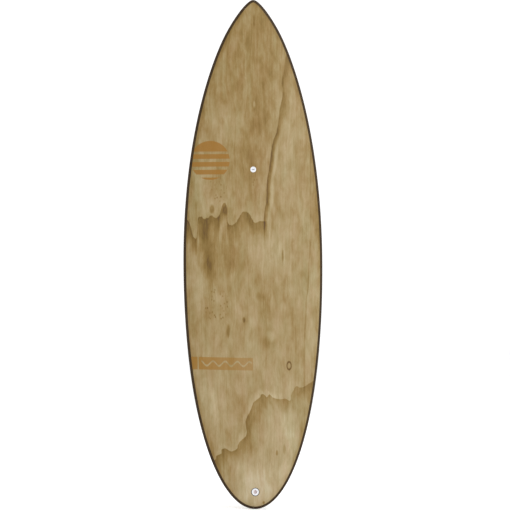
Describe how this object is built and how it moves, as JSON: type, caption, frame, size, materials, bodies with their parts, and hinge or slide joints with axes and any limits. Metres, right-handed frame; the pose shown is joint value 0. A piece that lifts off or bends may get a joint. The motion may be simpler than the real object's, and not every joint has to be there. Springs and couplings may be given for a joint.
{
  "type": "surfboard",
  "caption": "Short surfboard with a pointed nose and a round tail: wood skins over foam, dark rail bands, leash plug, vent plug and removable fins on the bottom.",
  "frame": {"origin": "end of the tail, on the centreline, where a rack's foot holds the board upright", "axes": "+Z from the tail to the nose, +X to the right as the deck is seen, -Y out of the deck and +Y out of the bottom, on the fins' side"},
  "size_m": [0.5178, 0.2242, 1.88],
  "materials": {
    "deck_veneer": "satin clear coat over grained veneer",
    "bottom_veneer": "satin clear coat over grained veneer",
    "dark_rail_wood": "satin clear coat over dark wood",
    "balsa": "raw",
    "foam": "matte, fine bead",
    "dense_foam": "matte",
    "white_plastic": "semi-gloss",
    "dark_resin": "satin",
    "steel": "polished",
    "rubber": "matte",
    "fin_composite": "satin, fine glass cloth"
  },
  "bodies": {
    "board": {"bottom_skin": "bottom_veneer", "deck_skin": "deck_veneer", "fin_box_centre": "white_plastic", "fin_box_left": "white_plastic", "fin_box_right": "white_plastic", "fin_insert_centre": "dense_foam", "fin_insert_left": "dense_foam", "fin_insert_right": "dense_foam", "fin_screw_centre_front": "steel", "fin_screw_centre_rear": "steel", "fin_screw_left_front": "steel", "fin_screw_left_rear": "steel", "fin_screw_right_front": "steel", "fin_screw_right_rear": "steel", "foam_core": "foam", "leash_plug_bar": "steel", "leash_plug_collar": "dark_resin", "leash_plug_cup": "white_plastic", "nose_block": "balsa", "rail_band_left": "dark_rail_wood", "rail_band_right": "dark_rail_wood", "rail_strip_left": "balsa", "rail_strip_right": "balsa", "tail_block": "balsa", "vent_plug_body": "white_plastic"},
    "vent_seal": {"vent_seal": "rubber"},
    "vent_screw": {"vent_screw": "white_plastic"},
    "centre_fin": {"fin_centre": "fin_composite"},
    "left_fin": {"fin_left": "fin_composite"},
    "right_fin": {"fin_right": "fin_composite"}
  },
  "joints": [
    {"name": "vent_screw_lift", "type": "slide", "parent": "board", "child": "vent_seal", "axis": [0, -0.9994, -0.0346], "range_m": [0, 0.006]},
    {"name": "vent_screw_turn", "type": "hinge", "parent": "vent_seal", "child": "vent_screw", "pos_m": [0, -0.01055, 1.257], "axis": [0, -0.9994, -0.0346], "range_deg": [0, 1441]},
    {"name": "centre_fin_slide", "type": "slide", "parent": "board", "child": "centre_fin", "axis": [0, 0.9935, -0.1135], "range_m": [0, 0.016]},
    {"name": "left_fin_slide", "type": "slide", "parent": "board", "child": "left_fin", "axis": [-0.039, 0.9956, -0.0856], "range_m": [0, 0.016]},
    {"name": "right_fin_slide", "type": "slide", "parent": "board", "child": "right_fin", "axis": [0.039, 0.9956, -0.0856], "range_m": [0, 0.016]}
  ],
  "couplings": [
    {"joint": "vent_screw_turn", "follows": "vent_screw_lift", "rad_per_m": 4188.8}
  ]
}
